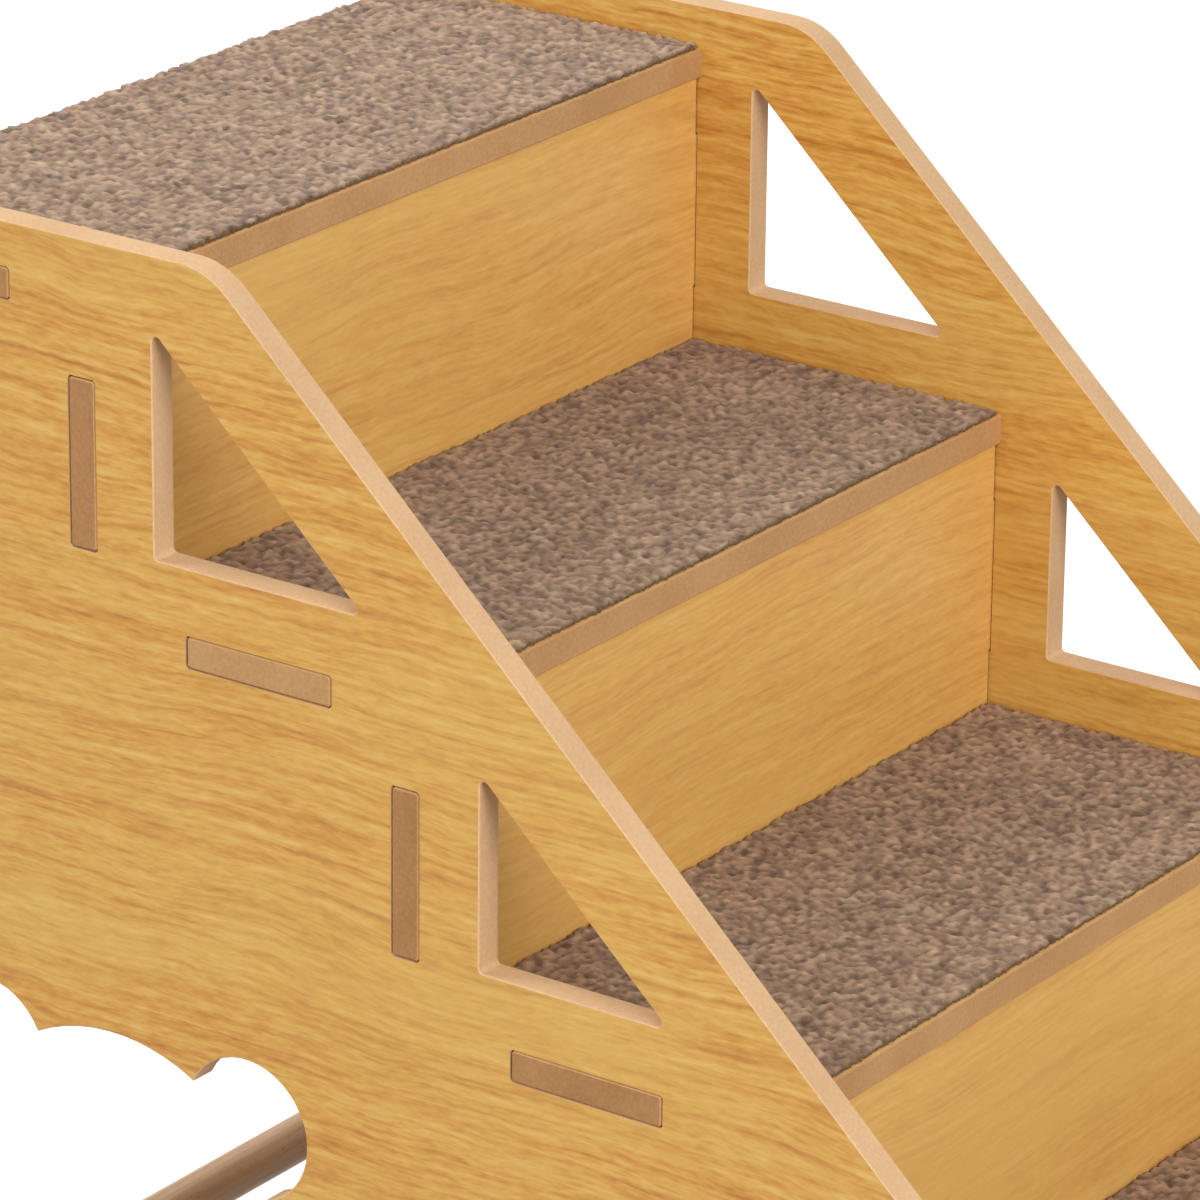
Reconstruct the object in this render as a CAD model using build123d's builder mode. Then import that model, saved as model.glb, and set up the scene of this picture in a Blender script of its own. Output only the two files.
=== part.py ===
from build123d import *
import os
from math import hypot

os.makedirs("parts", exist_ok=True)

# Pet stairs: a flat pack of foiled board. Treads and risers have a tab at each end,
# which fills a slot in the side panel and shows at its outer face. Round rods between
# the panels are drawn up by bolts and hold the panels on the tabs.
# Millimetres. X runs across the stairs, Y to the back and Z up.
# The origin is on the floor, in the middle of the stairs.

# Steps
step_count = 4
rise = 125.0
going = 147.0
nosing = 2.0
clear_width = 372.0

# Board
board = 12.0
arris = 0.5
tab_length = 65.6
tab_end_arris = 0.6
tab_corner_chamfer = 0.9
slot_corner_chamfer = 1.1
tab_side_clearance = 0.5
tab_end_clearance = 0.7
riser_end_clearance = 0.7

# Side panel outline
toe_reach = 52.0
rim_height = 18.0
upper_rail_reach = 70.0
lower_rail_reach = 33.0
top_corner_radius = 32.0
toe_corner_radius = 24.0
back_corner_radius = 8.0
foot_corner_radius = 4.0

# Triangular cut-outs of the side panel
rail_width = 38.0
cutout_riser_web = 27.0
cutout_tread_web = 26.5
cutout_corner_radius = 2.0

# Scalloped opening of the side panel
scallop_back_distance = 151.5
scallop_height = 137.0
scallop_body_half_length = 75.0
scallop_body_half_height = 69.6
lobe_radius = 28.2
lobe_centre_shares = (0.837, 0.684)

# Rods and their bolts
rod_diameter = 19.0
rod_end_chamfer = 0.8
low_rod_height = 28.0
back_rod_distance = 32.0
high_rod_drop = 34.0
front_rod_distance = 30.0
bolt_diameter = 6.0
bolt_reach = 14.0
bolt_head_diameter = 15.0
bolt_head_height = 2.2
bolt_head_bevel = 1.0
hex_socket_size = 4.0
hex_socket_depth = 1.8
bolt_hole_clearance = 0.4
insert_diameter = 10.0
insert_length = 14.0
insert_clearance = 0.1
thread_clearance = 0.1
bolt_end_room = 4.0

# Carpet pads
carpet_thickness = 3.5
carpet_side_gap = 1.0
carpet_front_gap = 1.6
carpet_back_gap = 0.8
carpet_edge_bevel = 1.0

# Grip pads under the side panels
grip_thickness = 2.0
grip_length = 60.0
grip_edge_inset = 1.0
grip_end_distance = 12.0

# Places that follow from the sizes above
panel_length = step_count * going + toe_reach
back = panel_length / 2
front = -panel_length / 2
panel_inner_face = clear_width / 2
panel_outer_face = panel_inner_face + board
tread_depth = going + nosing
panel_top = step_count * rise + rim_height
scallop_y = back - scallop_back_distance
steps = range(1, step_count + 1)


def tread_top(step):
    return step * rise


def riser_front(step):
    return back - (step_count - step + 1) * going


def nose(step):
    return riser_front(step) - nosing


def riser_bottom(step):
    """The lowest riser stands just clear of the floor, the others drop behind a tread."""
    return grip_thickness if step == 1 else tread_top(step - 1) - board


def riser_tab_height(step):
    """A riser's tab is centred on the stretch of the riser that shows."""
    lower = riser_bottom(step) if step == 1 else tread_top(step - 1)
    return (lower + tread_top(step) - board) / 2


# The front edge of a side panel is a straight slant between two places,
# each a reach in front of a nosing.
slant_low_y = nose(1) - lower_rail_reach
slant_low_z = tread_top(1)
slant_run = nose(step_count) - upper_rail_reach - slant_low_y
slant_rise = tread_top(step_count) - slant_low_z
rail_drop = rail_width * hypot(slant_run, slant_rise) / slant_run


def slant_z(y):
    return slant_low_z + (y - slant_low_y) * slant_rise / slant_run


def slant_y(z):
    return slant_low_y + (z - slant_low_z) * slant_run / slant_rise


rod_places = {
    "rod_front": (riser_front(1) + board + front_rod_distance, low_rod_height),
    "rod_back_low": (back - back_rod_distance, low_rod_height),
    "rod_back_high": (back - back_rod_distance, tread_top(step_count) - board - high_rod_drop),
}


def tab_corner_edges(piece):
    """The edges of the tabs that run through the side panels."""
    return piece.edges().filter_by(Axis.X).filter_by(lambda edge: edge.length < clear_width / 2)


def tab_end_edges(piece):
    across = piece.faces().sort_by(Axis.X)
    return across[0].edges() + across[-1].edges()


def finish(piece, label):
    piece.part.label = label
    export_step(piece.part, f"parts/{label}.step")


# Scalloped opening: an oval with a round lobe at each shoulder
lobe_spacing = 2 * lobe_centre_shares[0] * scallop_body_half_length
lobe_rise = 2 * lobe_centre_shares[1] * scallop_body_half_height
with BuildSketch() as scallop:
    with Locations((scallop_y, scallop_height)):
        Ellipse(scallop_body_half_length, scallop_body_half_height)
        with GridLocations(lobe_spacing, lobe_rise, 2, 2):
            Circle(lobe_radius)

# Triangular cut-outs: one above each tread but the top one, all their long sides
# on one line, which is parallel to the slanted edge
with BuildSketch() as cutouts:
    for step in steps[:-1]:
        heel_y = riser_front(step + 1) - cutout_riser_web
        sill_z = tread_top(step) + cutout_tread_web
        with BuildLine():
            Polyline(
                (heel_y, sill_z),
                (heel_y, slant_z(heel_y) - rail_drop),
                (slant_y(sill_z + rail_drop), sill_z),
                close=True,
            )
        make_face()
    fillet(cutouts.vertices(), cutout_corner_radius)

# Outline of a side panel
with BuildSketch() as outline:
    with BuildLine():
        Polyline(
            (back, grip_thickness),
            (back, panel_top),
            (slant_y(panel_top), panel_top),
            (front, slant_z(front)),
            (front, grip_thickness),
            close=True,
        )
    make_face()
    fillet(outline.vertices().group_by(Axis.Y)[-1].sort_by(Axis.X)[0], top_corner_radius)
    fillet(outline.vertices().group_by(Axis.Y)[-1].sort_by(Axis.X)[-1], back_corner_radius)
    fillet(outline.vertices().group_by(Axis.Y)[1], toe_corner_radius)
    fillet(outline.vertices().group_by(Axis.Y)[0], foot_corner_radius)

# Slots for the tabs of treads and risers
slot_length = tab_length + 2 * tab_end_clearance
slot_width = board + 2 * tab_side_clearance
with BuildSketch() as slots:
    for step in steps:
        with Locations((nose(step) + tread_depth / 2, tread_top(step) - board / 2)):
            Rectangle(slot_length, slot_width)
        with Locations((riser_front(step) + board / 2, riser_tab_height(step))):
            Rectangle(slot_width, slot_length)
    chamfer(slots.vertices(), slot_corner_chamfer)

# Side panels
for side, panel_start in (("left", -panel_outer_face), ("right", panel_inner_face)):
    with BuildPart() as side_panel:
        with BuildSketch(Plane.YZ.offset(panel_start)):
            add(outline.sketch)
            add(cutouts.sketch, mode=Mode.SUBTRACT)
            add(scallop.sketch, mode=Mode.SUBTRACT)
        extrude(amount=board)
        chamfer(side_panel.faces().filter_by(Axis.X).edges(), arris)
        with BuildSketch(Plane.YZ.offset(panel_start)):
            add(slots.sketch)
            with Locations(*rod_places.values()):
                Circle(bolt_diameter / 2 + bolt_hole_clearance)
        extrude(amount=board, mode=Mode.SUBTRACT)
    finish(side_panel, f"side_panel_{side}")

# Treads
for step in steps:
    with BuildPart() as tread:
        with BuildSketch(Plane.XY.offset(tread_top(step) - board)):
            with Locations((0, nose(step) + tread_depth / 2)):
                Rectangle(clear_width, tread_depth)
        extrude(amount=board)
        chamfer(tread.faces().sort_by(Axis.Y)[0].edges().filter_by(Axis.X), arris)
        with BuildSketch(Plane.XY.offset(tread_top(step) - board)):
            with Locations((0, nose(step) + tread_depth / 2)):
                Rectangle(2 * panel_outer_face, tab_length)
        extrude(amount=board)
        chamfer(tab_corner_edges(tread), tab_corner_chamfer)
        chamfer(tab_end_edges(tread), tab_end_arris)
    finish(tread, f"tread_{step}")

# Risers, a little shorter than the treads, which alone set how far apart the panels stand
riser_length = clear_width - 2 * riser_end_clearance
for step in steps:
    with BuildPart() as riser:
        with BuildSketch(Plane.XZ.offset(-riser_front(step) - board)):
            riser_height = tread_top(step) - board - riser_bottom(step)
            with Locations((0, riser_bottom(step) + riser_height / 2)):
                Rectangle(riser_length, riser_height)
            with Locations((0, riser_tab_height(step))):
                Rectangle(2 * panel_outer_face, tab_length)
        extrude(amount=board)
        chamfer(tab_corner_edges(riser), tab_corner_chamfer)
        chamfer(tab_end_edges(riser), tab_end_arris)
    finish(riser, f"riser_{step}")

# Carpet pads, each glued to its tread
carpet_depth = tread_depth - carpet_front_gap - carpet_back_gap
for step in steps:
    with BuildPart() as carpet:
        with BuildSketch(Plane.XY.offset(tread_top(step))):
            with Locations((0, nose(step) + carpet_front_gap + carpet_depth / 2)):
                Rectangle(clear_width - 2 * carpet_side_gap, carpet_depth)
        extrude(amount=carpet_thickness)
        chamfer(carpet.faces().sort_by(Axis.Z)[-1].edges(), carpet_edge_bevel)
    finish(carpet, f"carpet_{step}")

# Rods, with a bore in each end for the insert and the bolt's tip
bore_depth = max(insert_length, bolt_reach) + bolt_end_room
for label, place in rod_places.items():
    with BuildPart() as rod:
        with BuildSketch(Plane.YZ.offset(-panel_inner_face)):
            with Locations(place):
                Circle(rod_diameter / 2)
        extrude(amount=clear_width)
        chamfer(rod.faces().filter_by(Axis.X).edges(), rod_end_chamfer)
        for end_face, inwards in ((-panel_inner_face, 1), (panel_inner_face, -1)):
            with BuildSketch(Plane.YZ.offset(end_face)):
                with Locations(place):
                    Circle(insert_diameter / 2 + insert_clearance)
            extrude(amount=inwards * bore_depth, mode=Mode.SUBTRACT)
    finish(rod, label)

# Threaded inserts: one node, a bush in each end of each rod
with BuildPart() as rod_inserts:
    with BuildSketch(Plane.YZ.offset(panel_inner_face)):
        with Locations(*rod_places.values()):
            Circle(insert_diameter / 2)
            Circle(bolt_diameter / 2 + thread_clearance, mode=Mode.SUBTRACT)
    extrude(amount=-insert_length)
    mirror(about=Plane.YZ)
finish(rod_inserts, "rod_inserts")

# Bolts: one node, a flat round head with a hexagon socket on each panel's outer face
with BuildPart() as rod_bolts:
    with BuildSketch(Plane.YZ.offset(panel_outer_face)):
        with Locations(*rod_places.values()):
            Circle(bolt_head_diameter / 2)
    extrude(amount=bolt_head_height)
    chamfer(rod_bolts.faces().group_by(Axis.X)[-1].edges(), bolt_head_bevel)
    with BuildSketch(Plane.YZ.offset(panel_outer_face + bolt_head_height)):
        with Locations(*rod_places.values()):
            RegularPolygon(hex_socket_size / 2, 6, major_radius=False)
    extrude(amount=-hex_socket_depth, mode=Mode.SUBTRACT)
    with BuildSketch(Plane.YZ.offset(panel_outer_face)):
        with Locations(*rod_places.values()):
            Circle(bolt_diameter / 2)
    extrude(amount=-(board + bolt_reach))
    mirror(about=Plane.YZ)
finish(rod_bolts, "rod_bolts")

# Grip pads: one node, two under each side panel
grip_y = back - grip_end_distance - grip_length / 2
grip_x = panel_inner_face + board / 2
with BuildPart() as grip_pads:
    with BuildSketch():
        with GridLocations(2 * grip_x, 2 * grip_y, 2, 2):
            Rectangle(board - 2 * grip_edge_inset, grip_length)
    extrude(amount=grip_thickness)
finish(grip_pads, "grip_pads")
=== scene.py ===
from math import radians

import bpy
import numpy as np
from mathutils import Matrix, Vector


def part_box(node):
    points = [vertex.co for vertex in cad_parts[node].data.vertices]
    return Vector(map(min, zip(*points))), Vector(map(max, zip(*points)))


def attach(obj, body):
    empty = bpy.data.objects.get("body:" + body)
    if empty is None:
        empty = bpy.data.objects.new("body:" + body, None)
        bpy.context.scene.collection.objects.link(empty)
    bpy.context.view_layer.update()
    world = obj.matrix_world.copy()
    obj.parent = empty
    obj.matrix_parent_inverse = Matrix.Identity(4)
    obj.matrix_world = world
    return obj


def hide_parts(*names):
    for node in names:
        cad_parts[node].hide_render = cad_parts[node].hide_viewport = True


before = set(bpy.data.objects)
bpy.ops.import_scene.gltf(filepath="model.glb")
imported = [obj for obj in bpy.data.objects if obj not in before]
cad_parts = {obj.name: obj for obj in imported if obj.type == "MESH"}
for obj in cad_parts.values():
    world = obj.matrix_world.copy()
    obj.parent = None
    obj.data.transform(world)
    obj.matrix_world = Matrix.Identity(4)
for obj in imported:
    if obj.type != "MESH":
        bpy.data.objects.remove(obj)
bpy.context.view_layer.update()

# Lengths are in metres, colours are as a screen shows them, and the scales of a
# pattern are counts of its cells in a metre. A bump is its depth and its strength.
MM = 0.001
STEPS = (1, 2, 3, 4)
WHITE = (1.0, 1.0, 1.0, 1.0)
UPRIGHT = (0.0, 0.0, 1.0, 1.0)

# The camera stands where the photograph was taken from
CAMERA_PLACE = (-2.0512, -1.3593, 1.3022)
CAMERA_AZIMUTH = 54.811
CAMERA_ELEVATION = 20.998
CAMERA_ROLL = 0.616
CAMERA_LENS = 210.08
CAMERA_SENSOR = 36.0
CAMERA_REACH = 100.0

# Studio: each lamp has a name, a place, a width and a power
LAMPS = (
    ("left", (-3.0, -0.1, 1.3), 1.8, 36.0),
    ("front_left", (-1.9, -1.7, 2.4), 1.8, 15.0),
    ("front", (-1.2, -2.9, 1.4), 1.8, 58.0),
    ("above_back", (-0.4, 2.4, 2.5), 1.8, 62.0),
    ("right", (2.3, 0.3, 2.5), 1.8, 22.0),
    ("right_low", (3.2, 0.3, 0.55), 0.9, 36.0),
)
LAMP_TARGET = (0.0, 0.0, 0.27)
# The camera sees surroundings of level 1, and the object is lit by less
SURROUNDINGS_LEVEL = 0.33
FLOOR_RADIUS = 9.0
FLOOR_POINTS = 96
# The floor throws little light on the object, and glows where the camera sees it
FLOOR_SHADE = 0.3
FLOOR_GLOW = 0.84
FLOOR_ROUGHNESS = 0.9
FLOOR_SPECULAR = 0.1

# The middle of a noise, and the levels between which most of it lies
NOISE_MIDDLE = 0.5
NOISE_REACH = (0.3, 0.7)
# How many finer copies a noise adds to itself
SMOOTH, USUAL, FINE = 1.0, 2.0, 3.0

# Foil with a light oak print, from its dark streaks to its pale patches
OAK_TONES = [(0.10, (177, 113, 42)), (0.36, (198, 140, 61)), (0.52, (207, 155, 71)), (0.85, (219, 179, 101))]
OAK_YELLOW = (216, 177, 94)
OAK_YELLOW_SCALES = (3.0, 11.0)
OAK_YELLOW_REACH = (0.42, 0.66)
OAK_YELLOW_MOST = 0.5
# A pale tone mixed over the print as painted sheen
OAK_PAINTED_SHEEN = (242, 190, 112)
# Layers of the print: scales along and across the grain, and weight
OAK_LAYERS = (
    ((2.5, 55.0), 0.16),
    ((8.0, 240.0), 0.42),
    ((22.0, 480.0), 0.44),
    ((85.0, 420.0), 0.42),
    ((190.0, 800.0), 0.30),
)
# Dark streaks: scales, the levels of noise between which they grow, and depth
OAK_STREAKS = (((8.0, 330.0), (0.56, 0.70), 0.13), ((38.0, 430.0), (0.60, 0.74), 0.12))
# Swings that bend the grain: scales along and across it, and reach
OAK_SWINGS = (((5.0, 7.0), 26 * MM), ((16.0, 22.0), 6 * MM), ((70.0, 90.0), 1.5 * MM))
OAK_DEPTH_SCALE = 9.0
FOIL_ROUGHNESS = 0.46
FOIL_BUMP = (0.05 * MM, 0.5)
FOIL_SPECULAR = 0.5
# How strong the print is, and how much of the pale tone, a painted sheen, is mixed in
PANEL_PRINT_SHARES = (1.6, 0.0)
STEP_PRINT_SHARES = (1.8, 0.43)

# Bare fibreboard: the side panels' edges are paler than the step boards', partly their own tone and partly
# painted light on their upward edges, and the tabs' ends are sawn
PANEL_EDGE = [(0.1, (207, 166, 121)), (0.9, (218, 179, 135))]
STEP_EDGE = [(0.1, (184, 138, 88)), (0.9, (200, 154, 104))]
STEP_END = [(0.1, (159, 111, 64)), (0.9, (175, 127, 79))]
# One board is cut from a paler sheet, which shows at its tabs
PALE_END = [(0.1, (178, 133, 82)), (0.9, (192, 148, 96))]
PALE_BOARD = "tread_3"
CORE_SCALES = (30.0, 700.0)
CORE_MOTTLE_REACH = (0.7, 1.3)
CORE_GRAIN_SCALE = 1600.0
CORE_ROUGHNESS = 0.80
CORE_BUMP = (0.04 * MM, 0.4)
# A face belongs to an axis when its normal points along it by more than this share
FACING_SHARE = 0.93
# Each board is cut from another place of the print, so its pattern is shifted
SIDE_SHIFT = 3.7
# Kinds of step boards: name, axis that the faces point along, shift of the kind and of each step
STEP_BOARDS = (("tread", "Z", 11.3, 2.9), ("riser", "Y", 31.9, 4.3))

# Carpet yarns, from the darkest to the palest
YARN_TONES = [(0.15, (92, 64, 42)), (0.40, (137, 104, 77)), (0.60, (167, 134, 104)), (0.88, (193, 162, 130))]
# Drifts of tone through a pad: scale and weight
YARN_DRIFTS = ((70.0, 0.36), (380.0, 0.42))
# Rose and olive tints, each with the levels of noise between which it grows
YARN_TINTS = (((182, 142, 118), (0.50, 0.68)), ((160, 142, 104), (0.50, 0.32)))
YARN_TINT_SCALE = 230.0
YARN_TINT_MOST = 0.25
YARN_FIBRE_SCALE = 1100.0
YARN_FIBRE_SHARE = 0.12
# Painted shade: the pile darkens towards its backing, from this share of its height down
YARN_SHADE_START = 0.6
YARN_DEEPEST_SHADE = 0.50
YARN_ROUGHNESS = 0.95
YARN_BUMP = (0.25 * MM, 0.5)
YARN_SHEEN = 0.25
YARN_SPECULAR = 0.15
# Fuzzy yarn scatters light, so the shading of its slopes leans this far to the upright
YARN_FUZZ = 0.6
# The backing's brown, darkened in part as painted shade under the pile's edge
BACKING_TONES = [(0.3, (100, 78, 61)), (0.7, (128, 102, 82))]
BACKING_WEAVE_SCALE = 900.0
BACKING_ROUGHNESS = 0.95
BACKING_BUMP = (0.2 * MM, 0.5)
BACKING_SPECULAR = 0.1

BEECH_TONES = [(0.35, (195, 156, 117)), (0.62, (215, 180, 143))]
BEECH_STREAK_SCALES = (9.0, 340.0, 340.0)
BEECH_FLECK = (152, 113, 80)
BEECH_FLECK_SCALES = (260.0, 1100.0, 1100.0)
BEECH_FLECK_REACH = (0.62, 0.72)
BEECH_FLECK_MOST = 0.35
BEECH_ROUGHNESS = (0.55, 0.42)
BEECH_BUMP = (0.05 * MM, 0.4)

METAL_TONE_SCALE = 160.0
METAL_MARK_SCALE = 1500.0
METAL_BUMP = (0.02 * MM, 0.3)
STEEL_TONES = [(0.3, (168, 169, 172)), (0.7, (196, 197, 200))]
STEEL_ROUGHNESS = (0.22, 0.38)
BRASS_TONES = [(0.3, (180, 148, 88)), (0.7, (212, 180, 112))]
BRASS_ROUGHNESS = (0.25, 0.40)

RUBBER_TONES = [(0.3, (26, 26, 26)), (0.7, (44, 44, 43))]
RUBBER_GRAIN_SCALE = 1400.0
RUBBER_ROUGHNESS = (0.7, 0.9)
RUBBER_BUMP = (0.1 * MM, 0.6)

# Pile of the carpet pads. The grid is finer than the loops that stand on it
CARPET_SEED = 400
GRID_PITCH = 0.9 * MM
LOOP_PITCH = (2.9 * MM, 2.7 * MM)
LOOP_RADII = (1.9 * MM, 1.5 * MM)
LOOP_TURN_SPREAD = 0.9
LOOP_JITTER_SHARE = 0.36
LOOP_HEIGHT = 2.6 * MM
LOOP_LOWEST_SHARE = 0.5
LOOP_TONE = 0.5
LOOP_TONE_SPREAD = 0.20
BETWEEN_LOOPS_TONE = 0.35
# The cut edge of a pad: how far in it bends down, and how far it drops, wanders and leans in
EDGE_ROLL = 1.6 * MM
EDGE_DROP = 0.5 * MM
EDGE_RAGGED = 0.4 * MM
EDGE_LEAN = 0.5 * MM
BACKING_THICKNESS = 0.7 * MM
BACKING_INSET = 0.2 * MM
# Share of the pile's height whose painted shade its cut side takes
SIDE_DEPTH_SHARE = 0.35
# Places of the two materials in a pad's mesh
PILE, BACKING = 0, 1


def linear(colour):
    """A colour given as 0 to 255 on a screen, as the linear colour that a shader takes.

    The numbers are those of the sRGB curve.
    """
    shares = [channel / 255 for channel in colour]
    return [s / 12.92 if s < 0.04045 else ((s + 0.055) / 1.055) ** 2.4 for s in shares] + [1.0]


class Shader:
    """A material with short calls for the nodes that this scene uses."""

    def __init__(self, name):
        self.material = bpy.data.materials.new(name)
        self.material.use_nodes = True
        self.tree = self.material.node_tree
        self.surface = self.tree.nodes["Principled BSDF"]
        where = self.node("ShaderNodeTexCoord", {})
        place = self.node("ShaderNodeSeparateXYZ", {0: where.outputs["Object"]})
        facing = self.node("ShaderNodeSeparateXYZ", {0: where.outputs["Normal"]})
        self.place = dict(zip("XYZ", place.outputs))
        self.facing = dict(zip("XYZ", facing.outputs))

    def node(self, kind, inputs, **settings):
        """A new node with its settings made and its inputs fed."""
        made = self.tree.nodes.new(kind)
        for key, value in settings.items():
            setattr(made, key, value)
        for key, value in inputs.items():
            self.feed(made.inputs[key], value)
        return made

    def feed(self, socket, value):
        """Links the socket to another node's output, or sets it where the value is a constant."""
        if isinstance(value, bpy.types.NodeSocket):
            self.tree.links.new(value, socket)
        else:
            socket.default_value = value

    def calc(self, operation, first, second=0.0):
        """What a sum gives for one value or for two."""
        return self.node("ShaderNodeMath", {0: first, 1: second}, operation=operation).outputs[0]

    def noise(self, axes, scales, detail=USUAL, shift=0.0):
        """Noise from 0 to 1 over three coordinates, each with its own scale."""
        joined = self.node("ShaderNodeCombineXYZ", dict(enumerate(axes))).outputs[0]
        inputs = {0: joined, 1: scales, 2: (0.0, 0.0, shift)}
        point = self.node("ShaderNodeVectorMath", inputs, operation="MULTIPLY_ADD").outputs[0]
        return self.node("ShaderNodeTexNoise", {"Vector": point, "Scale": 1.0, "Detail": detail}).outputs[0]

    def grain(self, scale, detail=USUAL, shift=0.0):
        """Noise with one scale all ways, at the point itself."""
        return self.noise(self.place.values(), (scale, scale, scale), detail, shift)

    def between(self, value, low, high, at_low=0.0, at_high=1.0):
        """The value stretched so that low gives at_low and high gives at_high, and held there beyond."""
        inputs = {"Value": value, "From Min": low, "From Max": high, "To Min": at_low, "To Max": at_high}
        return self.node("ShaderNodeMapRange", inputs).outputs[0]

    def faces(self, axis):
        """1 where the surface faces along the axis, either way, and 0 elsewhere."""
        return self.calc("GREATER_THAN", self.calc("ABSOLUTE", self.facing[axis]), FACING_SHARE)

    def ramp(self, value, stops):
        """A colour that runs through the stops, each a place from 0 to 1 and a screen colour."""
        made = self.node("ShaderNodeValToRGB", {0: value})
        marks = made.color_ramp.elements
        while len(marks) < len(stops):
            marks.new(0.5)
        for mark, (place, colour) in zip(marks, stops):
            mark.position = place
            mark.color = linear(colour)
        return made.outputs[0]

    def mix(self, share, first, second, blend="MIX"):
        """One colour mixed into another. A mix node has its colour sockets at 6 and 7, and at 2."""
        inputs = {0: share, 6: first, 7: second}
        return self.node("ShaderNodeMix", inputs, data_type="RGBA", blend_type=blend).outputs[2]

    def bump(self, height, distance, strength):
        """A normal that shows the height as a relief of the given depth."""
        inputs = {"Height": height, "Distance": distance, "Strength": strength}
        return self.node("ShaderNodeBump", inputs).outputs[0]

    def finish(self, colour, roughness, normal, **fixed):
        """Feeds the surface. The fixed values are set straight on the sockets that they name."""
        self.feed(self.surface.inputs["Base Color"], colour)
        self.feed(self.surface.inputs["Roughness"], roughness)
        self.feed(self.surface.inputs["Normal"], normal)
        sockets = {"specular": "Specular IOR Level", "sheen": "Sheen Weight", "metallic": "Metallic"}
        for key, value in fixed.items():
            self.surface.inputs[sockets[key]].default_value = value
        return self.material


def oak_print(shader, along, across, through, shift, print_shares):
    """The tone and colour of a printed oak grain that runs along the first coordinate, with a pale painted
    sheen mixed in.
    """
    contrast, painted_sheen_share = print_shares
    bent = across
    for (along_scale, across_scale), reach in OAK_SWINGS:
        scales = (along_scale, across_scale, OAK_DEPTH_SCALE)
        wave = shader.noise((along, across, through), scales, SMOOTH, shift)
        wave = shader.calc("SUBTRACT", wave, NOISE_MIDDLE)
        bent = shader.calc("ADD", bent, shader.calc("MULTIPLY", wave, reach))

    def print_noise(scales, detail):
        return shader.noise((along, bent, through), (*scales, OAK_DEPTH_SCALE), detail, shift)

    tone = NOISE_MIDDLE
    for scales, weight in OAK_LAYERS:
        layer = shader.calc("SUBTRACT", print_noise(scales, USUAL), NOISE_MIDDLE)
        tone = shader.calc("ADD", tone, shader.calc("MULTIPLY", layer, weight * contrast))
    for scales, (low, high), depth in OAK_STREAKS:
        streak = shader.between(print_noise(scales, FINE), low, high, 0.0, depth * contrast)
        tone = shader.calc("SUBTRACT", tone, streak)
    yellow = print_noise(OAK_YELLOW_SCALES, FINE)
    yellow_share = shader.between(yellow, *OAK_YELLOW_REACH, 0.0, OAK_YELLOW_MOST)
    colour = shader.mix(yellow_share, shader.ramp(tone, OAK_TONES), linear(OAK_YELLOW))
    # The pale tone goes over the print as painted sheen
    return tone, shader.mix(painted_sheen_share, colour, linear(OAK_PAINTED_SHEEN))


def board_material(name, grain_axis, face_axis, shift, edge_tones, end_tones, print_shares):
    """Foil on the two wide faces of a board, and bare fibreboard on its edges and ends."""
    shader = Shader(name)
    across_axis = next(axis for axis in "XYZ" if axis not in (grain_axis, face_axis))
    axes = [shader.place[axis] for axis in (grain_axis, across_axis, face_axis)]
    tone, foil = oak_print(shader, *axes, shift, print_shares)

    mottle = shader.calc("ADD", *[shader.grain(scale, FINE, shift) for scale in CORE_SCALES])
    mottle = shader.between(mottle, *CORE_MOTTLE_REACH)
    edge, end = shader.ramp(mottle, edge_tones), shader.ramp(mottle, end_tones)
    core = shader.mix(shader.faces(grain_axis), edge, end)

    on_face = shader.faces(face_axis)
    colour = shader.mix(on_face, core, foil)
    roughness = shader.between(on_face, 0.0, 1.0, CORE_ROUGHNESS, FOIL_ROUGHNESS)
    core_normal = shader.bump(shader.grain(CORE_GRAIN_SCALE, SMOOTH), *CORE_BUMP)
    normal = shader.mix(on_face, core_normal, shader.bump(tone, *FOIL_BUMP))
    return shader.finish(colour, roughness, normal, specular=FOIL_SPECULAR)


def rod_material():
    """Turned beech with fine streaks along the rod and short dark flecks."""
    shader = Shader("rod_wood")
    streak = shader.noise(shader.place.values(), BEECH_STREAK_SCALES, FINE)
    fleck = shader.noise(shader.place.values(), BEECH_FLECK_SCALES, SMOOTH)
    fleck_share = shader.between(fleck, *BEECH_FLECK_REACH, 0.0, BEECH_FLECK_MOST)
    colour = shader.mix(fleck_share, shader.ramp(streak, BEECH_TONES), linear(BEECH_FLECK))
    roughness = shader.between(streak, *NOISE_REACH, *BEECH_ROUGHNESS)
    return shader.finish(colour, roughness, shader.bump(streak, *BEECH_BUMP))


def metal_material(name, tones, roughness_reach):
    """Turned or plated metal, with fine marks from the tool and handling."""
    shader = Shader(name)
    marks = shader.grain(METAL_MARK_SCALE, FINE)
    colour = shader.ramp(shader.grain(METAL_TONE_SCALE), tones)
    roughness = shader.between(marks, *NOISE_REACH, *roughness_reach)
    return shader.finish(colour, roughness, shader.bump(marks, *METAL_BUMP), metallic=1.0)


def rubber_material():
    """Matt black rubber with a fine cast grain."""
    shader = Shader("grip_rubber")
    cast = shader.grain(RUBBER_GRAIN_SCALE)
    roughness = shader.between(cast, *NOISE_REACH, *RUBBER_ROUGHNESS)
    return shader.finish(shader.ramp(cast, RUBBER_TONES), roughness, shader.bump(cast, *RUBBER_BUMP))


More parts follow.
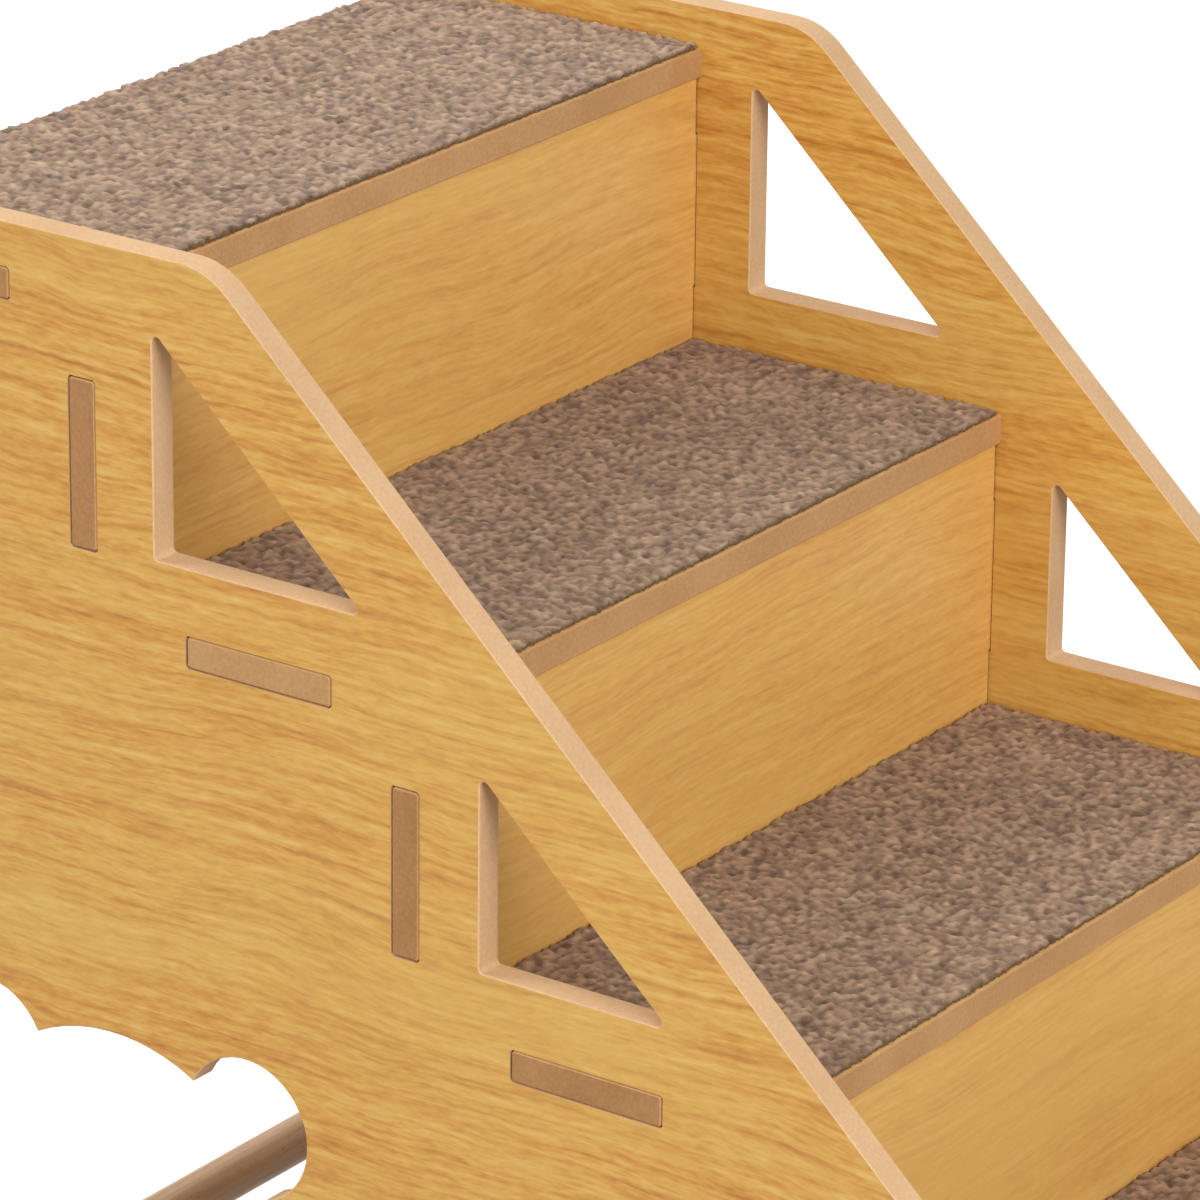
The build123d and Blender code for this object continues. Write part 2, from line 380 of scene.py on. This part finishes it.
def pile_material():
    """Heather yarn: each loop has the tone that its mesh carries, tints drift through the pad, and painted
    shade darkens the pile towards its backing.
    """
    shader = Shader("carpet_pile")
    tone = shader.node("ShaderNodeAttribute", {}, attribute_name="tone").outputs["Fac"]
    depth = shader.node("ShaderNodeAttribute", {}, attribute_name="depth").outputs["Fac"]
    fibre = shader.grain(YARN_FIBRE_SCALE)
    own_tone = shader.calc("MULTIPLY", tone, 1.0 - YARN_FIBRE_SHARE)
    mixed = shader.calc("ADD", own_tone, shader.calc("MULTIPLY", fibre, YARN_FIBRE_SHARE))
    for scale, weight in YARN_DRIFTS:
        drift = shader.calc("SUBTRACT", shader.grain(scale), NOISE_MIDDLE)
        mixed = shader.calc("ADD", mixed, shader.calc("MULTIPLY", drift, weight))
    colour = shader.ramp(mixed, YARN_TONES)
    tint_noise = shader.grain(YARN_TINT_SCALE, SMOOTH)
    for tint, reach in YARN_TINTS:
        share = shader.between(tint_noise, *reach, 0.0, YARN_TINT_MOST)
        colour = shader.mix(share, colour, linear(tint))
    # Painted shade in the pits between loops and on the cut side, deepest at the backing
    shade = shader.between(depth, 0.0, YARN_SHADE_START, YARN_DEEPEST_SHADE, 1.0)
    painted_shade_grey = shader.node("ShaderNodeCombineColor", {0: shade, 1: shade, 2: shade}).outputs[0]
    colour = shader.mix(1.0, colour, painted_shade_grey, "MULTIPLY")
    fuzz = shader.calc("MULTIPLY", shader.facing["Z"], YARN_FUZZ)
    normal = shader.mix(fuzz, shader.bump(fibre, *YARN_BUMP), UPRIGHT)
    return shader.finish(colour, YARN_ROUGHNESS, normal, sheen=YARN_SHEEN, specular=YARN_SPECULAR)


def backing_material():
    """Woven backing, its brown partly its own and partly painted shade, that shows as a dark line under the
    pile.
    """
    shader = Shader("carpet_backing")
    weave = shader.grain(BACKING_WEAVE_SCALE, SMOOTH)
    colour = shader.ramp(weave, BACKING_TONES)
    normal = shader.bump(weave, *BACKING_BUMP)
    return shader.finish(colour, BACKING_ROUGHNESS, normal, specular=BACKING_SPECULAR)


def rows_blended(values):
    """The values on a grid, each blended with those in the rows beside it."""
    padded = np.pad(values, ((1, 1), (0, 0)), "edge")
    return (padded[:-2] + 2 * values + padded[2:]) / 4


def softened(values):
    """The values on a grid, blended across its rows and its columns."""
    return rows_blended(rows_blended(values).T).T


def pile_surface(rng, width, length):
    """Points of a fine grid over the pad, with the pile's height and tone at each.

    The loops stand on a coarser grid, each moved, turned and sized a little by itself.
    That grid has one more row outside each edge of the pad.
    """
    shape = tuple(int(np.ceil(side / pitch)) + 2 for side, pitch in zip((width, length), LOOP_PITCH))
    middle = [
        (index - 0.5 + rng.uniform(-LOOP_JITTER_SHARE, LOOP_JITTER_SHARE, shape)) * pitch
        for index, pitch in zip(np.indices(shape), LOOP_PITCH)
    ]
    turn = rng.normal(0.0, LOOP_TURN_SPREAD, shape)
    crown_height = LOOP_HEIGHT * rng.uniform(LOOP_LOWEST_SHARE, 1.0, shape)
    loop_tone = np.clip(rng.normal(LOOP_TONE, LOOP_TONE_SPREAD, shape), 0.0, 1.0)

    counts = [int(round(side / GRID_PITCH)) + 1 for side in (width, length)]
    x, y = np.meshgrid(np.linspace(0.0, width, counts[0]), np.linspace(0.0, length, counts[1]), indexing="ij")
    own_column = np.floor(x / LOOP_PITCH[0]).astype(int) + 1
    own_row = np.floor(y / LOOP_PITCH[1]).astype(int) + 1
    height = np.zeros(x.shape)
    tone = np.full(x.shape, BETWEEN_LOOPS_TONE)
    for next_column in (-1, 0, 1):
        for next_row in (-1, 0, 1):
            column = np.clip(own_column + next_column, 0, shape[0] - 1)
            row = np.clip(own_row + next_row, 0, shape[1] - 1)
            off_x = x - middle[0][column, row]
            off_y = y - middle[1][column, row]
            cos, sin = np.cos(turn[column, row]), np.sin(turn[column, row])
            far = ((off_x * cos + off_y * sin) / LOOP_RADII[0]) ** 2
            far += ((off_y * cos - off_x * sin) / LOOP_RADII[1]) ** 2
            crown = crown_height[column, row] * np.sqrt(np.clip(1.0 - far, 0.0, None))
            higher = crown > height
            height = np.where(higher, crown, height)
            tone = np.where(higher, loop_tone[column, row], tone)
    return x, y, softened(height), softened(tone)


def ring_of(columns, rows):
    """Grid places round the border, in order, each once."""
    ring = [(i, 0) for i in range(columns)]
    ring += [(columns - 1, j) for j in range(1, rows)]
    ring += [(i, rows - 1) for i in range(columns - 2, -1, -1)]
    return ring + [(0, j) for j in range(rows - 2, 0, -1)]


def wander(rng, x, y, ring):
    """Moves the points of the cut edge in or out a little."""
    columns, rows = x.shape
    for (i, j), shift in zip(ring, rng.normal(0.0, EDGE_RAGGED, len(ring))):
        if i in (0, columns - 1):
            x[i, j] += shift if i else -shift
        if j in (0, rows - 1):
            y[i, j] += shift if j else -shift


def sides_and_backing(points, border, base_level, centre):
    """The pad below its pile: points, faces and the material of each face.

    The pile's side leans in to the backing, and the backing stands on the tread.
    """
    side_level = base_level + BACKING_THICKNESS
    bands = (
        (PILE, side_level, EDGE_LEAN),
        (BACKING, side_level, BACKING_INSET),
        (BACKING, base_level, BACKING_INSET),
    )
    added, faces, kinds = [], [], []
    upper = border
    for order, (kind, level, inset) in enumerate(bands):
        band = points[border]
        for axis in (0, 1):
            band[:, axis] -= np.sign(band[:, axis] - centre[axis]) * inset
        band[:, 2] = level
        added.append(band)
        lower = len(points) + order * len(border) + np.arange(len(border))
        strip = np.stack([lower, np.roll(lower, -1), np.roll(upper, -1), upper], axis=-1)
        faces += strip.tolist()
        kinds += [kind] * len(strip)
        upper = lower
    faces.append(upper[::-1].tolist())
    kinds.append(BACKING)
    return np.concatenate(added), faces, kinds


def pad_mesh(name, points, faces, kinds, materials):
    """A smooth mesh whose faces have the materials that their kinds name."""
    mesh = bpy.data.meshes.new(name)
    mesh.from_pydata(points.tolist(), [], faces)
    for material in materials:
        mesh.materials.append(material)
    mesh.polygons.foreach_set("material_index", kinds)
    mesh.polygons.foreach_set("use_smooth", [True] * len(faces))
    return mesh


def carpet(step, materials):
    """A cut pad of loop pile carpet on its tread."""
    node = f"carpet_{step}"
    low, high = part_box(node)
    width, length = high[0] - low[0], high[1] - low[1]
    rng = np.random.default_rng(CARPET_SEED + step)
    x, y, height, tone = pile_surface(rng, width, length)
    edge = np.minimum.reduce([x, width - x, y, length - y])
    drop = EDGE_DROP * np.clip(1.0 - edge / EDGE_ROLL, 0.0, 1.0) ** 2
    ring = ring_of(*x.shape)
    wander(rng, x, y, ring)

    top = high[2] - LOOP_HEIGHT + height - drop
    points = np.stack([x + low[0], y + low[1], top], axis=-1).reshape(-1, 3)
    index = np.arange(x.size).reshape(x.shape)
    corners = [index[:-1, :-1], index[1:, :-1], index[1:, 1:], index[:-1, 1:]]
    faces = np.stack(corners, axis=-1).reshape(-1, 4).tolist()
    kinds = [PILE] * len(faces)
    border = np.array([index[place] for place in ring])
    centre = (low[0] + width / 2, low[1] + length / 2)
    below, more_faces, more_kinds = sides_and_backing(points, border, low[2], centre)

    points = np.concatenate([points, below])
    mesh = pad_mesh(f"{node}_pile", points, faces + more_faces, kinds + more_kinds, materials)
    layers = (("tone", tone, BETWEEN_LOOPS_TONE), ("depth", height / LOOP_HEIGHT, SIDE_DEPTH_SHARE))
    for name, values, value_below in layers:
        layer = mesh.attributes.new(name, "FLOAT", "POINT")
        layer.data.foreach_set("value", np.append(values, np.full(len(below), value_below)))
    mesh.update()
    piece = bpy.data.objects.new(f"{node}_pile", mesh)
    bpy.context.scene.collection.objects.link(piece)
    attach(piece, "root")
    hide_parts(node)


def dress(node, material):
    """Gives a CAD node its material, in place of the one that it comes with."""
    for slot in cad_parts[node].material_slots:
        slot.material = material


def seen_directly(tree):
    """1 for rays from the camera, a reflection or a clear surface, and 0 for the light on the object."""
    path = tree.nodes.new("ShaderNodeLightPath")
    total = path.outputs["Is Camera Ray"]
    for name in ("Is Glossy Ray", "Is Transmission Ray"):
        both = tree.nodes.new("ShaderNodeMath")
        both.operation = "MAXIMUM"
        tree.links.new(total, both.inputs[0])
        tree.links.new(path.outputs[name], both.inputs[1])
        total = both.outputs[0]
    return total


def surroundings():
    """A world that is white to look at and gives a soft light from all sides."""
    world = bpy.data.worlds.new("studio")
    bpy.context.scene.world = world
    world.use_nodes = True
    tree = world.node_tree
    background = tree.nodes["Background"]
    background.inputs["Color"].default_value = WHITE
    strength = tree.nodes.new("ShaderNodeMapRange")
    tree.links.new(seen_directly(tree), strength.inputs["Value"])
    strength.inputs["To Min"].default_value = SURROUNDINGS_LEVEL
    strength.inputs["To Max"].default_value = 1.0
    tree.links.new(strength.outputs[0], background.inputs["Strength"])


def studio_floor():
    """A pale floor that keeps the object's shadow."""
    bpy.ops.mesh.primitive_circle_add(vertices=FLOOR_POINTS, radius=FLOOR_RADIUS, fill_type="NGON")
    floor = bpy.context.object
    floor.name = "studio_floor"
    material = bpy.data.materials.new("studio_floor")
    material.use_nodes = True
    tree = material.node_tree
    surface = tree.nodes["Principled BSDF"]
    surface.inputs["Base Color"].default_value = (FLOOR_SHADE, FLOOR_SHADE, FLOOR_SHADE, 1.0)
    surface.inputs["Roughness"].default_value = FLOOR_ROUGHNESS
    surface.inputs["Specular IOR Level"].default_value = FLOOR_SPECULAR
    surface.inputs["Emission Color"].default_value = WHITE
    glow = tree.nodes.new("ShaderNodeMath")
    glow.operation = "MULTIPLY"
    tree.links.new(seen_directly(tree), glow.inputs[0])
    glow.inputs[1].default_value = FLOOR_GLOW
    tree.links.new(glow.outputs[0], surface.inputs["Emission Strength"])
    floor.data.materials.append(material)


def lamp(name, place, width, power):
    """A round soft lamp that points at the object."""
    light = bpy.data.lights.new(name, "AREA")
    light.shape = "DISK"
    light.size = width
    light.energy = power
    holder = bpy.data.objects.new(name, light)
    holder.location = place
    holder.rotation_euler = (Vector(LAMP_TARGET) - Vector(place)).to_track_quat("-Z", "Y").to_euler()
    bpy.context.scene.collection.objects.link(holder)


def camera():
    """The camera of the photograph, turned, tilted and rolled at its place."""
    lens = bpy.data.cameras.new("camera")
    lens.lens = CAMERA_LENS
    lens.sensor_width = CAMERA_SENSOR
    lens.clip_end = CAMERA_REACH
    holder = bpy.data.objects.new("camera", lens)
    turn = Matrix.Rotation(-radians(CAMERA_AZIMUTH), 4, "Z")
    tilt = Matrix.Rotation(radians(90.0 - CAMERA_ELEVATION), 4, "X")
    roll = Matrix.Rotation(radians(CAMERA_ROLL), 4, "Z")
    holder.matrix_world = Matrix.Translation(CAMERA_PLACE) @ turn @ tilt @ roll
    bpy.context.scene.collection.objects.link(holder)
    bpy.context.scene.camera = holder


camera()
surroundings()
studio_floor()
for settings in LAMPS:
    lamp(*settings)

for order, side in enumerate(("left", "right")):
    shift = SIDE_SHIFT * order
    foiled = board_material(f"oak_side_{side}", "Y", "X", shift, PANEL_EDGE, PANEL_EDGE, PANEL_PRINT_SHARES)
    dress(f"side_panel_{side}", foiled)
for kind, face_axis, kind_shift, step_shift in STEP_BOARDS:
    for step in STEPS:
        shift = kind_shift + step_shift * step
        board = f"{kind}_{step}"
        ends = PALE_END if board == PALE_BOARD else STEP_END
        foiled = board_material(f"oak_{board}", "X", face_axis, shift, STEP_EDGE, ends, STEP_PRINT_SHARES)
        dress(board, foiled)
rod_wood = rod_material()
for rod in ("rod_front", "rod_back_low", "rod_back_high"):
    dress(rod, rod_wood)
dress("rod_bolts", metal_material("bolt_steel", STEEL_TONES, STEEL_ROUGHNESS))
dress("rod_inserts", metal_material("insert_brass", BRASS_TONES, BRASS_ROUGHNESS))
dress("grip_pads", rubber_material())
carpet_materials = (pile_material(), backing_material())
for step in STEPS:
    carpet(step, carpet_materials)

bpy.context.scene.view_settings.view_transform = "Standard"
